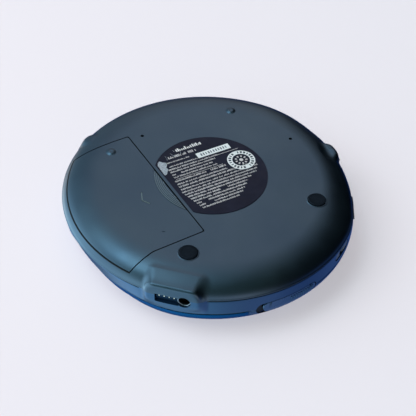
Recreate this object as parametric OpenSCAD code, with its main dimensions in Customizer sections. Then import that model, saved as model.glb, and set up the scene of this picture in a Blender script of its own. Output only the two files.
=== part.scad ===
// Portable disc player: round clamshell case with an opening lid, a disc
// mechanism, a battery bay under a sliding door and a row of front keys.
// Millimetres. The player stands on its feet at z = 0, with its front at -Y.
// The origin is the centre of the round case on the standing surface.

/* [Case] */
// Outer radius of the case
body_r = 69.5; // [69:0.1:70]
// Thickness of the case walls
wall = 1.6; // [1.4:0.1:1.8]
// Height of the case floor above the standing surface
foot_h = 0.8; // [0.6:0.1:1.2]
// Height of the line where the lower case meets the cabinet
part_z = 8; // [7.8:0.1:8.2]
// Height of the cabinet's top edge under the lid
rim_z = 16.8; // [16.7:0.1:17]
// Height of the top of the lid at its middle
top_z = 25.6; // [25.4:0.1:26.2]
// Width of the rounded lower edge, measured inwards
edge_w = 17; // [16:0.5:18]

/* [Jack pod] */
// Direction that the pod faces
pod_a = -45; // [-46:0.1:-44]
// Distance from the case centre to the pod's face
pod_r = 70; // [69.8:0.1:70.4]
// Radius of the hole in front of the power jack
dc_hole_r = 3; // [2.8:0.1:3.1]

/* [Disc well] */
// Inner radius of the well that the disc turns in
well_r = 61; // [60.8:0.1:61.1]
// Height of the well's floor
well_z = 18.2; // [18.1:0.1:18.3]
// Height of the face that the disc rests on
disc_z = 19.8; // [19.7:0.1:19.9]
// Radius of the boss that centres the disc
boss_r = 7.3; // [7.2:0.05:7.4]

/* [Battery bay] */
// Position of the door's straight inner edge
door_x = 20; // [19.8:0.1:20.2]
// Front end of the door
door_y0 = -29.2; // [-29.4:0.1:-29]
// Rear end of the door
door_y1 = 45.4; // [45.2:0.1:45.6]
// Height of the door's outer edge
door_z = 4.1; // [4:0.1:4.2]
// Gap round the door
door_gap = 0.25; // [0.2:0.05:0.3]

/* [Keys] */
// Radius of each round key
key_r = 2.4; // [2.2:0.1:2.5]
// Gap round each key
key_gap = 0.2; // [0.15:0.05:0.3]
// Pitch between keys along the rim, in degrees
key_pitch = 7.5; // [7:0.5:7.5]

/* [Rating label] */
// Radius of the round label
label_r = 27; // [26:0.5:28]
// Centre of the label
label_c = [-1.5, 1.9];

/* [Mechanism] */
// Radius of the two guide rods
rod_r = 1; // [0.9:0.1:1.1]
// Running clearance round shafts
run_c = 0.05; // [0.03:0.01:0.08]
// Lens position at rest, measured from the spindle
lens_r0 = 24; // [23.5:0.5:24.5]

/* [Hidden] */
$fn = 96;

shell_c = [0.33, 0.42, 0.50];
lid_c = [0.10, 0.28, 0.52];
dark_c = [0.07, 0.08, 0.10];
metal_c = [0.72, 0.73, 0.74];
gold_c = [0.80, 0.66, 0.32];

floor_t = wall;                       // floor thickness
in_r = body_r - wall;                 // inner radius of the walls
edge_c = body_r - edge_w;             // radius where the floor starts to round
edge_h = part_z - foot_h;             // height of the rounded edge
hinge_y = 66.6;                       // lid hinge axis
hinge_z = 17.2;
hinge_r = 2.6;
lid_in_z = 23.4;                      // flat inner face of the lid

// The fixed crescent beside the lid: the lid's front edge follows a circle
// of radius cut_r round cut_c.
cres_a = -136;                        // middle of the crescent
cres_half = 64;                       // half its spread, degrees
cut_min = 61.8;                       // nearest the lid's edge comes to the spindle
cut_d = (pow(body_r, 2) - pow(cut_min, 2)) /
    (2 * (cut_min - body_r * cos(cres_half)));
cut_r = cut_min + cut_d;
cut_c = [-cut_d * cos(cres_a), -cut_d * sin(cres_a)];

jack_a = -119.5;                        // headphone jack direction
jack_z = 12;
slot_x0 = -14.8;                      // opening for the lid slider
slot_x1 = 16.6;
slot_z0 = 13.7;
slot_z1 = 20.3;
ledge_z = 16.5;                       // ledge inside the rim wall
vol_a = -144;                         // volume rocker direction
disp_a = -117;                        // middle of the display
hold_a = -163;                        // hold switch direction
key_a = [for (i = [0:4]) -134.5 - i * key_pitch];
key_c = 67;                           // radius and height of the key centres
key_z = 22.49;
key_tilt = 36;                        // lean of the keys from upright

door_pip = [32.7, 38.8];
case_pip = [-35.1, 38.6];
feet = [[32.9, -36.9], [-35.2, -37.1]];
holes = [[13.9, 42.3], [-49.5, 5.3]];
standoffs = [[-40, -16], [-38, 24], [14, 20], [4, -38]];  // under the main board
bumps = [[187.2, 69.8, 6.2], [53, 69.7, 5.2]]; // direction, reach, half width
bay = [[23.6, -25, 0], [55.4, 35, 17.2]];
dampers = [[12, 21], [12, -21], [-50, -21]];
rod_y = 13.5;
rod_z = 12.8;
screw_y = 19.4;
screw_z = 11.4;

// Points along a quarter ellipse from straight down (-90) to outwards (0)
function low_arc(c, cz, a, b, n = 10) =
    [for (i = [0:n]) [c + a * cos(-90 + 90 * i / n), cz + b * sin(-90 + 90 * i / n)]];
// Points from outwards (0) to straight up (90)
function high_arc(c, cz, a, b, n = 8) =
    [for (i = [0:n]) [c + a * cos(90 * i / n), cz + b * sin(90 * i / n)]];

module outer_low() rotate_extrude()
    polygon(concat([[0, foot_h]], low_arc(edge_c, part_z, edge_w, edge_h), [[0, part_z]]));
module inner_low(g = 0) rotate_extrude()
    polygon(concat([[0, foot_h + floor_t + g]],
        low_arc(edge_c, part_z, edge_w - wall - 0.2 - g, edge_h - floor_t - g),
        [[0, part_z]]));
module outer_top(z0) rotate_extrude()
    polygon(concat([[0, z0], [body_r, z0]], high_arc(60.5, 18.2, body_r - 60.5, 6.2),
        [[45, top_z - 0.45], [25, top_z - 0.12], [0, top_z]]));
module inner_top(z0) rotate_extrude()
    polygon(concat([[0, z0], [in_r, z0]],
        high_arc(59.3, 18.1, in_r - 59.3, lid_in_z - 18.1), [[0, lid_in_z]]));
// Frame whose local +X points outwards at angle a
module at_rim(a) rotate([0, 0, a]) children();
// Round-ended bar along X between two heights, from y0 to y1
module stadium(x0, x1, z0, z1, y0, y1) union() {
    translate([x0 + (z1 - z0) / 2, y0, z0]) cube([x1 - x0 - z1 + z0, y1 - y0, z1 - z0]);
    for (x = [x0 + (z1 - z0) / 2, x1 - (z1 - z0) / 2]) translate([x, y1, (z0 + z1) / 2])
        rotate([90, 0, 0]) cylinder(h = y1 - y0, r = (z1 - z0) / 2, $fn = 60);
}
// Upright block with rounded corners, x from x0 to x1, half width w
module rounded_block(x0, x1, w, z0, z1, r) translate([0, 0, z0]) linear_extrude(z1 - z0)
    union() {
        translate([x0, -w]) square([x1 - x0 - r, 2 * w]);
        translate([x0, -w + r]) square([x1 - x0, 2 * (w - r)]);
        for (s = [-1, 1]) translate([x1 - r, s * (w - r)]) circle(r, $fn = 40);
    }
module door_zone(g, z1) translate([door_x + g, door_y0 + g, -1])
    cube([60, door_y1 - door_y0 - 2 * g, z1 + 1]);
module crescent_zone() difference() {
    at_rim(cres_a) translate([0, 0, ledge_z - 0.5]) linear_extrude(20)
        polygon([[0, 0], for (i = [-10:2:10]) [90 * cos(i * (cres_half - 1.5) / 10),
            90 * sin(i * (cres_half - 1.5) / 10)]]);
    translate([cut_c[0], cut_c[1], 0]) cylinder(h = 60, r = cut_r + 0.25, $fn = 180);
}
// A helical spring along +Z from 0 to h
module spring(r0, r1, w, turns, h, n = 10) {
    m = 5;
    k = turns * n;
    pts = [for (i = [0:k]) let (a = 360 * i / n, r = r0 + (r1 - r0) * i / k,
            z = w + (h - 2 * w) * i / k)
        for (j = [0:m - 1]) let (b = 360 * j / m)
            [(r + w * cos(b)) * cos(a), (r + w * cos(b)) * sin(a), z + w * sin(b)]];
    polyhedron(pts, concat([[for (j = [m - 1:-1:0]) j]],
        [for (i = [0:k - 1], j = [0:m - 1], t = [0, 1]) t == 0 ?
            [i * m + j, (i + 1) * m + (j + 1) % m, (i + 1) * m + j] :
            [i * m + j, i * m + (j + 1) % m, (i + 1) * m + (j + 1) % m]],
        [[for (j = [0:m - 1]) k * m + j]]));
}

// Lower shell: flat floor, broad rounded edge, three lobes on the rim, the
// jack pod, screw bosses and the opening for the battery door.
module bottom_case() color(shell_c) difference() {
    union() {
        difference() { outer_low(); inner_low(); }
        at_rim(pod_a) translate([0, -1.2, 0])
            rounded_block(61, pod_r, 11.3, 3.6, 15.2, 3);
        for (b = bumps) at_rim(b[0]) rounded_block(61, b[1], b[2], 4.2, part_z, 3);
        for (p = feet) translate([p[0], p[1], 1.4]) cylinder(h = 3, r = 3.2);
        for (p = standoffs) translate([p[0], p[1], 2]) cylinder(h = 1.6, r = 1.6, $fn = 40);
        translate([case_pip[0], case_pip[1], 0]) cylinder(h = 1, r1 = 1.2, r2 = 2.3);
    }
    // pod: hollow back, power jack hole and terminal recess
    at_rim(pod_a) translate([0, -1.2, 0]) {
        translate([54, -9.3, 5.2]) cube([12, 18.8, 12]);
        translate([54, -14, 15.3]) cube([20, 28, 5]);
        translate([54, -13, part_z]) cube([12, 26, 12]);
    }
    at_rim(pod_a) translate([60, -6.5, 9.4]) rotate([0, 90, 0]) cylinder(h = 14, r = dc_hole_r);
    at_rim(pod_a) translate([60, -4.4, 7.1]) cube([14, 10.8, 4.8]);
    // battery door opening
    door_zone(0, door_z + 0.25);
    // pockets for the feet and the screws under them
    for (p = feet) translate([p[0], p[1], 0]) {
        translate([0, 0, -1]) cylinder(h = 2.3, r = 4.25);
        cylinder(h = 3.2, r = 1.7);
        cylinder(h = 6, r = 0.85);
    }
    for (p = holes) translate([p[0], p[1], 0]) cylinder(h = 5, r = 0.9, $fn = 32);
}

// Cabinet: side band, disc well, hinge block and the fixed front crescent.
module cabinet() color(shell_c) difference() {
    union() {
        rotate_extrude() polygon([[0, 17.2], [well_r, 17.2], [well_r, 15.3], [in_r, 15.3],
            [in_r, part_z], [body_r, part_z], [body_r, rim_z], [67.6, rim_z], [67.6, ledge_z],
            [62.4, ledge_z], [62.4, 20.2],
            [well_r, 20.2], [well_r, well_z], [0, well_z]]);
        // crescent
        difference() {
            intersection() { outer_top(ledge_z - 0.5); crescent_zone(); }
            difference() {
                translate([0, 0, -1.2]) inner_top(15);
                translate([cut_c[0], cut_c[1], 0]) cylinder(h = 60, r = cut_r + 1.55, $fn = 180);
            }
        }
        // hinge block
        translate([-16.5, hinge_y, hinge_z]) rotate([0, 90, 0]) cylinder(h = 33, r = hinge_r);
        translate([-16.5, hinge_y - 2, 11]) cube([33, 4.2, hinge_z - 11]);
        // screw posts, mechanism posts, spring stop
        for (p = feet) translate([p[0], p[1], 4.4]) cylinder(h = 13, r = 2.3);
        for (p = dampers) translate([p[0], p[1], 13]) cylinder(h = 4.5, r = 1.2, $fn = 48);
        translate([-3, -68, 9.6]) cube([1.5, 6.6, 2.8]);
    }
    // windows in the well floor over the mechanism
    translate([0, 0, 15]) cylinder(h = 5, r = 16.5);
    intersection() {
        translate([-62, -17.5, 15]) cube([62, 35, 5]);
        translate([0, 0, 14]) cylinder(h = 8, r = 60);
    }
    // hinge pin bores and clearance for the lid's knuckles
    translate([-18, hinge_y, hinge_z]) rotate([0, 90, 0]) cylinder(h = 36, r = 0.95);
    for (s = [-1, 1]) translate([s > 0 ? 16.9 : -22.4, hinge_y, hinge_z]) rotate([0, 90, 0])
        cylinder(h = 5.5, r = hinge_r + 0.4);
    // pod cut-out
    at_rim(pod_a) translate([60, -12.8, 5]) cube([15, 23.2, 10.3]);
    // screw post bores
    for (p = feet) translate([p[0], p[1], 4]) cylinder(h = 6, r = 0.75, $fn = 32);
    for (p = dampers) translate([p[0], p[1], 12]) cylinder(h = 4, r = 0.6, $fn = 32);
    // slot for the lid slider, and the slot that the lid's latch tab drops into
    stadium(slot_x0, slot_x1, slot_z0, slot_z1, -75, -65);
    translate([-3.8, -62.9, 13]) cube([7.6, 2.6, 8]);
    // side openings
    at_rim(jack_a) translate([66, -4.7, jack_z - 2.6]) cube([6, 9.4, 5.2]);
    at_rim(vol_a) translate([66, -6.2, 10.3]) cube([6, 12.4, 4.2]);
    at_rim(hold_a) translate([66, -5.2, 10.6]) cube([6, 10.4, 3.4]);
    // key holes
    for (a = key_a) at_rim(a) translate([key_c, 0, key_z]) rotate([0, key_tilt, 0])
        translate([0, 0, -3]) cylinder(h = 8, r = key_r + key_gap);
    // display opening
    display_zone(0, 67.9, 20.4);
}

// Wedge of the rim between two angles, for the display and its panel
module display_wedge(g) at_rim(disp_a) linear_extrude(60)
    polygon([[0, 0], for (i = [-5:5]) [90 * cos(i * 2.1 - g * sign(i)), 90 * sin(i * 2.1 - g * sign(i))]]);
module display_zone(g, rb, z0) intersection() {
    display_wedge(g);
    translate([0, 0, z0]) difference() {
        cylinder(h = 6, r = rb - g);
        translate([cut_c[0], cut_c[1], -1]) cylinder(h = 8, r = cut_r + 2.35 + g, $fn = 180);
    }
}

module rubber_feet() color(dark_c) for (p = feet) translate([p[0], p[1], 0]) union() {
    cylinder(h = 0.25, r1 = 3.85, r2 = 4.1);
    translate([0, 0, 0.25]) cylinder(h = 1.05, r = 4.1);
}

module rating_label() color([0.08, 0.08, 0.16]) translate([label_c[0], label_c[1], foot_h - 0.15])
    difference() {
        cylinder(h = 0.15, r = label_r);
        translate([door_x - 1.4 - label_c[0], -40, -1]) cube([40, 80, 3]);
    }

// Open-bottomed box that holds two cells side by side
module battery_bay() color(dark_c) difference() {
    intersection() {
        translate([bay[0][0], bay[0][1], 2]) cube([bay[1][0] - bay[0][0],
            bay[1][1] - bay[0][1], bay[1][2] - 2]);
        union() {
            inner_low(0.4);
            translate([0, 0, part_z - 0.01]) cylinder(h = 7.26, r = 67.5);
            translate([0, 0, 15]) cylinder(h = 5, r = 60.8);
        }
    }
    translate([bay[0][0] + 1, bay[0][1] + 1, 0]) cube([bay[1][0] - bay[0][0] - 2,
        bay[1][1] - bay[0][1] - 2, 16.6]);
}
module battery_springs() color(metal_c) for (x = [32, 46.9])
    translate([x, bay[0][1] + 1.4, 9.3]) rotate([-90, 0, 0]) spring(4, 2, 0.35, 4, 4);
module battery_contacts() color(metal_c) {
    for (x = [32, 46.9]) translate([x - 5, bay[0][1] + 1, 4.8]) cube([10, 0.4, 9]);
    translate([27, bay[1][1] - 1.4, 4.8]) cube([25, 0.4, 9]);
    for (x = [32, 46.9]) translate([x, bay[1][1] - 1.4, 9.3]) rotate([90, 0, 0]) cylinder(h = 0.7, r = 2.6);
}

module dc_jack_body() color(dark_c) at_rim(pod_a) difference() {
    translate([55, -10, 5.9]) cube([11, 6.3, 7]);
    translate([57, -6.8, 9.4]) rotate([0, 90, 0]) cylinder(h = 14, r = 2.3);
}
module dc_jack_pin() color(metal_c) at_rim(pod_a) translate([57, -6.8, 9.4]) rotate([0, 90, 0])
    union() { cylinder(h = 7.4, r = 0.65, $fn = 32); translate([0, 0, 7.4]) cylinder(h = 0.4, r1 = 0.65, r2 = 0.3, $fn = 32); }
module terminal_block() color(dark_c) at_rim(pod_a) translate([60, -3.5, 6.6]) cube([6, 9.6, 6]);
module terminal_contacts() color(gold_c) at_rim(pod_a)
    for (i = [0:3]) translate([66, -2.4 + i * 2.2, 8.4]) cube([1.7, 0.9, 1.2]);

module phones_jack_body() color(dark_c) at_rim(jack_a) difference() {
    translate([55.5, -5.4, 9]) cube([12, 10.8, 6.3]);
    translate([56, 0, jack_z]) rotate([0, 90, 0]) cylinder(h = 14, r = 1.8);
}
module phones_jack_ring() color(metal_c) at_rim(jack_a) translate([67.5, 0, jack_z]) rotate([0, 90, 0])
    difference() { cylinder(h = 0.7, r = 2.4); translate([0, 0, -1]) cylinder(h = 3, r = 1.8); }

module main_board() color([0.10, 0.32, 0.22]) difference() {
    intersection() {
        translate([0, 0, 3.6]) cylinder(h = 1, r = 50);
        translate([-52, -48, 3]) cube([71, 92, 3]);
    }
    for (p = feet) translate([p[0], p[1], 0]) cylinder(h = 8, r = 3.8);
    translate([-20, -60, 0]) cube([50, 16, 10]);
}
module board_chips() color([0.05, 0.05, 0.06]) {
    for (c = [[-8, -30, 14, 14], [-34, -20, 12, 12], [-14, 22, 16, 10], [4, 4, 10, 12], [-38, 10, 8, 14]])
        translate([c[0] - c[2] / 2, c[1] - c[3] / 2, 4.6]) cube([c[2], c[3], 1.4]);
    for (c = [[10, -34], [13, 30], [-28, 32]]) translate([c[0], c[1], 4.6]) cylinder(h = 3.2, r = 2.4, $fn = 40);
}
module case_screws() color(metal_c) for (p = feet) translate([p[0], p[1], 0]) difference() {
    union() {
        translate([0, 0, 2.1]) cylinder(h = 1.1, r = 1.5, $fn = 40);
        translate([0, 0, 3.2]) cylinder(h = 6.4, r = 0.75, $fn = 32);
    }
    for (a = [0, 90]) rotate([0, 0, a]) translate([-0.9, -0.15, 2]) cube([1.8, 0.3, 0.6]);
}

// Metal deck that carries the spindle motor, the rods and the sled
module deck_plate() color(metal_c) difference() {
    union() {
        intersection() {
            translate([-62, -25, 15.4]) cube([81, 50, 1]);
            translate([0, 0, 10]) cylinder(h = 10, r = 60.6);
        }
        for (x = [-59.1, -8.4], s = [-1, 1]) translate([x, s * rod_y - 1.8, 11.2]) cube([2, 3.6, 4.3]);
        translate([-57, screw_y - 1.9, 9.8]) cube([1.8, 3.8, 5.8]);
    }
    translate([-65, -9, 14]) cube([54, 18, 5]);
    translate([0, 0, 10]) cylinder(h = 10, r = 6);
    for (s = [-1, 1]) translate([-63, s * rod_y, rod_z]) rotate([0, 90, 0]) cylinder(h = 60, r = rod_r, $fn = 48);
    translate([-60, screw_y, screw_z]) rotate([0, 90, 0]) cylinder(h = 6, r = 0.6 + run_c, $fn = 40);
    for (p = dampers) translate([p[0], p[1], 14]) cylinder(h = 4, r = 2.4, $fn = 48);
}
module rubber_dampers() color(dark_c) for (p = dampers) translate([p[0], p[1], 0]) difference() {
    union() {
        translate([0, 0, 14]) cylinder(h = 1.4, r = 3.4, $fn = 48);
        translate([0, 0, 15.4]) cylinder(h = 1, r = 2.4, $fn = 48);
        translate([0, 0, 16.4]) cylinder(h = 0.8, r = 3.4, $fn = 48);
    }
    translate([0, 0, 10]) cylinder(h = 10, r = 1.2, $fn = 48);
}
module deck_screws() color(metal_c) for (p = dampers) translate([p[0], p[1], 0]) {
    translate([0, 0, 12.1]) cylinder(h = 0.9, r = 2.4, $fn = 40);
    translate([0, 0, 13]) cylinder(h = 2.6, r = 0.6, $fn = 32);
}
module spindle_motor() color(metal_c) difference() {
    union() {
        translate([0, 0, 9.4]) cylinder(h = 6, r = 11);
        translate([0, 0, 8.6]) cylinder(h = 0.8, r = 4);
        translate([0, 0, 15.4]) cylinder(h = 1.2, r = 3.2);
    }
    translate([0, 0, 9]) cylinder(h = 12, r = 1 + run_c, $fn = 48);
}
module guide_rods() color(metal_c) for (s = [-1, 1]) translate([-59.1, s * rod_y, rod_z])
    rotate([0, 90, 0]) cylinder(h = 52.7, r = rod_r, $fn = 48);
module sled_motor() color(metal_c) translate([-8.6, screw_y, screw_z]) rotate([0, 90, 0]) difference() {
    union() { cylinder(h = 1, r = 3); translate([0, 0, 1]) cylinder(h = 12, r = 4); }
    translate([0, 0, -1]) cylinder(h = 8, r = 0.6 + run_c, $fn = 40);
}

// Display: a clear window flush with the rim, over the panel
module display_window() color([0.55, 0.60, 0.62]) intersection() {
    outer_top(rim_z);
    display_zone(0.1, 67.9, 21.4);
}
module lcd_panel() color([0.42, 0.47, 0.42]) intersection() {
    translate([0, 0, 20.4]) cylinder(h = 1, r = 67.4);
    display_zone(0.2, 67.7, 18);
}
// Small board behind the keys
module key_board() color([0.10, 0.32, 0.22]) intersection() {
    at_rim(-147) linear_extrude(60) polygon([[0, 0], for (i = [-9:3:9]) [90 * cos(i * 2.3), 90 * sin(i * 2.3)]]);
    translate([0, 0, ledge_z]) difference() {
        cylinder(h = 0.8, r = 67.5);
        translate([cut_c[0], cut_c[1], -1]) cylinder(h = 8, r = cut_r + 1.8, $fn = 180);
    }
}
module slider_spring() color(metal_c) translate([-12, -63.4, 11]) rotate([0, 90, 0])
    spring(1, 1, 0.25, 5, 9);

// Lid: domed shell with a deep skirt, two hinge knuckles and the latch tab
module lid_shell() color(lid_c) difference() {
    union() {
        difference() {
            intersection() {
                outer_top(rim_z + 0.4);
                translate([cut_c[0], cut_c[1], 0]) cylinder(h = 60, r = cut_r, $fn = 180);
            }
            intersection() {
                translate([0, 0, 0]) inner_top(10);
                translate([cut_c[0], cut_c[1], 0]) cylinder(h = 60, r = cut_r - 1.4, $fn = 180);
            }
            cylinder(h = 20.6, r = 66);
            // notch round the cabinet's hinge block
            translate([-17.2, 64, 10]) cube([34.4, 10, 20]);
        }
        for (s = [-1, 1]) translate([s > 0 ? 17.2 : -22.0, hinge_y, hinge_z]) rotate([0, 90, 0])
            cylinder(h = 4.8, r = hinge_r);
        for (s = [-1, 1]) translate([s > 0 ? 17.2 : -22.0, hinge_y - 3.2, hinge_z + 0.6]) cube([4.8, 3.2, 3]);
        translate([-3, -62.4, 13.6]) cube([6, 1.5, lid_in_z + 0.2 - 13.6]);
    }
    translate([-30, hinge_y, hinge_z]) rotate([0, 90, 0]) cylinder(h = 60, r = 0.9, $fn = 48);
    // pocket for the top plate
    translate([0, 0, top_z - 1.1]) cylinder(h = 5, r = 44.2);
}
module lid_plate() color([0.55, 0.60, 0.66]) intersection() {
    outer_top(20);
    translate([0, 0, top_z - 1.1]) cylinder(h = 5, r = 44);
}
module lid_liner() color(dark_c) translate([0, 0, lid_in_z - 0.5]) difference() {
    cylinder(h = 0.5, r = 56);
    translate([0, 0, -1]) cylinder(h = 3, r = 18);
}
module hinge_pins() color(metal_c) for (s = [-1, 1])
    translate([s > 0 ? 12 : -21.8, hinge_y, hinge_z]) rotate([0, 90, 0]) cylinder(h = 9.8, r = 0.9, $fn = 48);

// Slider that releases the lid: ribbed knob, inner plate, latch nose, spring lug
module open_slider() color(shell_c) union() {
    intersection() {
        stadium(-14.4, 13.2, 14.1, 19.9, -72, -67.3);
        cylinder(h = 30, r = 70.1, $fn = 180);
    }
    translate([-8, -67.4, 14.3]) cube([18, 1.8, 2.3]);
    translate([-13.6, -65.7, 12.4]) cube([24.6, 0.8, 2.85]);
    translate([-1, -65, 13.6]) cube([4, 2.45, 1.3]);
    translate([-13.6, -65.7, 9.8]) cube([1.5, 3.6, 3.4]);
}

// Battery door: the part of the lower shell over the cells, with side rails
module battery_door() color(shell_c) difference() {
    union() {
        intersection() {
            difference() { outer_low(); inner_low(); }
            door_zone(door_gap, door_z);
        }
        translate([door_pip[0], door_pip[1], 0]) cylinder(h = 1, r1 = 1.2, r2 = 2.3);
        for (y = [door_y0 - 1, door_y1 - 1.3]) translate([24.5, y, 3.2]) cube([3.5, 2.3, 1]);
        for (y = [door_y0 + door_gap, door_y1 - 1.3]) translate([24.5, y, 2]) cube([3.5, 1.05, 2]);
    }
    // finger grip: a shallow lens cut into the face beside the inner edge
    translate([label_c[0], label_c[1], foot_h - 0.5]) cylinder(h = 0.85, r = label_r + 0.2);
    // arrow
    for (q = [[113.7, 5.4], [-120.2, 4.3]]) translate([35.2, 1.6, 0]) rotate([0, 0, q[0]])
        translate([0, -0.3, 0]) cube([q[1], 0.6, foot_h + 0.3]);
    translate([36.4, -20.9, 0]) cylinder(h = foot_h + 0.25, r = 0.7, $fn = 32);
}

module turntable() color(metal_c) difference() {
    union() {
        translate([0, 0, 9.6]) cylinder(h = 9.5, r = 1, $fn = 48);
        translate([0, 0, 17.4]) cylinder(h = 1.2, r = 9);
        translate([0, 0, 18.6]) cylinder(h = disc_z - 18.6, r = 14.5);
        translate([0, 0, disc_z]) cylinder(h = 1.3, r = boss_r);
        translate([0, 0, disc_z + 1.3]) cylinder(h = 0.8, r1 = boss_r, r2 = boss_r - 1.2);
    }
    for (a = [90, 210, 330]) rotate([0, 0, a]) translate([4.6, 0, disc_z + 1]) rotate([0, 90, 0])
        cylinder(h = 5, r = 0.85, $fn = 48);
}
module chuck_balls() color(metal_c) for (a = [90, 210, 330]) rotate([0, 0, a])
    translate([6.75, 0, disc_z + 1]) sphere(r = 0.8, $fn = 32);

module pickup_body() color([0.16, 0.17, 0.19]) difference() {
    union() {
        translate([-lens_r0 - 8, -11.2, 9.6]) cube([19.4, 22.4, 5.2]);
        translate([-lens_r0 - 2.5, 10, 10.8]) cube([13.5, 5.8, 4]);
        translate([-lens_r0 - 2.5, -15.6, 10.8]) cube([8, 6, 4]);
        translate([-lens_r0, 0, 14.8]) cylinder(h = 2.8, r = 5.4);
        translate([-lens_r0, 15, 10.2]) cube([5, screw_y - 15 - 1.15, 2.4]);
    }
    translate([-50, rod_y, rod_z]) rotate([0, 90, 0]) cylinder(h = 50, r = rod_r + run_c, $fn = 48);
    translate([-50, -rod_y - 4, rod_z - rod_r - 0.05]) cube([50, 5.1, 2 * rod_r + 0.1]);
    translate([-lens_r0, 0, 16.2]) cylinder(h = 3, r = 2.4);
    translate([-lens_r0 - 6.5, -8, 9]) cube([4, 16, 1.4]);
}
module objective_lens() color([0.50, 0.45, 0.70]) translate([-lens_r0, 0, 16.2]) union() {
    cylinder(h = 1.6, r = 2.3);
    translate([0, 0, 1.6]) intersection() {
        cylinder(h = 2, r = 1.9);
        translate([0, 0, -3]) sphere(r = 3.7, $fn = 64);
    }
}
module lead_screw() color(metal_c) translate([-57, screw_y, screw_z]) rotate([0, 90, 0]) union() {
    cylinder(h = 3, r = 0.6, $fn = 40);
    translate([0, 0, 2]) rotate_extrude($fn = 48) polygon(concat([[0, 0]],
        [for (i = [0:40]) each [[0.85, i * 1.1], [1.1, i * 1.1 + 0.35], [1.1, i * 1.1 + 0.6], [0.85, i * 1.1 + 0.95]]],
        [[0.85, 45.4], [0, 45.4]]));
    translate([0, 0, 47]) cylinder(h = 6, r = 0.6, $fn = 40);
}

// One round key standing square to the sloping rim
module key(a) at_rim(a) translate([key_c, 0, key_z]) rotate([0, key_tilt, 0]) {
    translate([0, 0, -2.2]) cylinder(h = 2.9, r = key_r);
    translate([0, 0, 0.7]) cylinder(h = 0.35, r1 = key_r, r2 = key_r - 0.5);
}
module key_play() color(metal_c) key(key_a[0]);
module key_stop() color(metal_c) key(key_a[1]);
module key_back() color(metal_c) key(key_a[2]);
module key_forward() color(metal_c) key(key_a[3]);
module key_mode() color(metal_c) key(key_a[4]);

module volume_rocker() color(dark_c) at_rim(vol_a) difference() {
    union() {
        translate([66.2, -5.9, 10.6]) cube([3.9, 11.8, 3.6]);
        translate([65.2, -1.2, 10.8]) cube([1.4, 2.4, 3.2]);
    }
    translate([69.6, -0.4, 10]) cube([1, 0.8, 5]);
}
module hold_switch() color(dark_c) at_rim(hold_a) {
    translate([67, -4.9, 10.9]) cube([3, 6.6, 2.8]);
    translate([66.2, -5.4, 10.2]) cube([0.8, 7.6, 4.2]);
}

bottom_case();
cabinet();
rubber_feet();
rating_label();
battery_bay();
battery_springs();
battery_contacts();
dc_jack_body();
dc_jack_pin();
terminal_block();
terminal_contacts();
phones_jack_body();
phones_jack_ring();
main_board();
board_chips();
case_screws();
deck_plate();
rubber_dampers();
deck_screws();
spindle_motor();
guide_rods();
sled_motor();
display_window();
lcd_panel();
key_board();
slider_spring();
lid_shell();
lid_plate();
lid_liner();
hinge_pins();
open_slider();
battery_door();
turntable();
chuck_balls();
pickup_body();
objective_lens();
lead_screw();
key_play();
key_stop();
key_back();
key_forward();
key_mode();
volume_rocker();
hold_switch();
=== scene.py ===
import math

import bmesh
import bpy
import numpy as np
from mathutils import Matrix, Vector


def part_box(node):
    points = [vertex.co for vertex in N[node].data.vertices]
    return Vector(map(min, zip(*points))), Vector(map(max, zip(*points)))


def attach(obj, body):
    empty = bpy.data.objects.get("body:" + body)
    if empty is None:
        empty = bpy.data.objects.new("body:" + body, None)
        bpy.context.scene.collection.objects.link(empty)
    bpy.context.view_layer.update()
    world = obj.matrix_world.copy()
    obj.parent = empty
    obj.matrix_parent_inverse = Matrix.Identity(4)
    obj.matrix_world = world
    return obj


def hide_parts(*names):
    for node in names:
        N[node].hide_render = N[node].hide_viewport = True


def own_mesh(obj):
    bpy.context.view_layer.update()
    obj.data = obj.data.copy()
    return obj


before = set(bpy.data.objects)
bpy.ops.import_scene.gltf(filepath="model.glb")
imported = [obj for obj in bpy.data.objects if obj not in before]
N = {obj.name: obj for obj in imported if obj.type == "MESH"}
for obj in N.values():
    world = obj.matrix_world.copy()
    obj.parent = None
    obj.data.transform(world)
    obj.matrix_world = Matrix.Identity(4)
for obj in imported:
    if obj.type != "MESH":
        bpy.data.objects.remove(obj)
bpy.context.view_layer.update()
sc = bpy.context.scene
sc.view_settings.view_transform = "Standard"
sc.view_settings.look = "None"
MM = 0.001

# ---------------------------------------------------------------- camera
cam = bpy.data.cameras.new("camera")
cam_ob = bpy.data.objects.new("camera", cam)
sc.collection.objects.link(cam_ob)
cam.lens, cam.sensor_width = 75.983, 36.0
cam.clip_start, cam.clip_end = 0.01, 50
TURN = Matrix(((-0.85972255, -0.33786808, 0.38304346),
               (-0.50985922, 0.61225379, -0.6043086),
               (-0.03034322, -0.71483597, -0.69863355)))
cam_ob.matrix_world = Matrix.Translation(Vector((0.1641758, -0.2582209, -0.2777841))) @ TURN.to_4x4()
sc.camera = cam_ob


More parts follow.
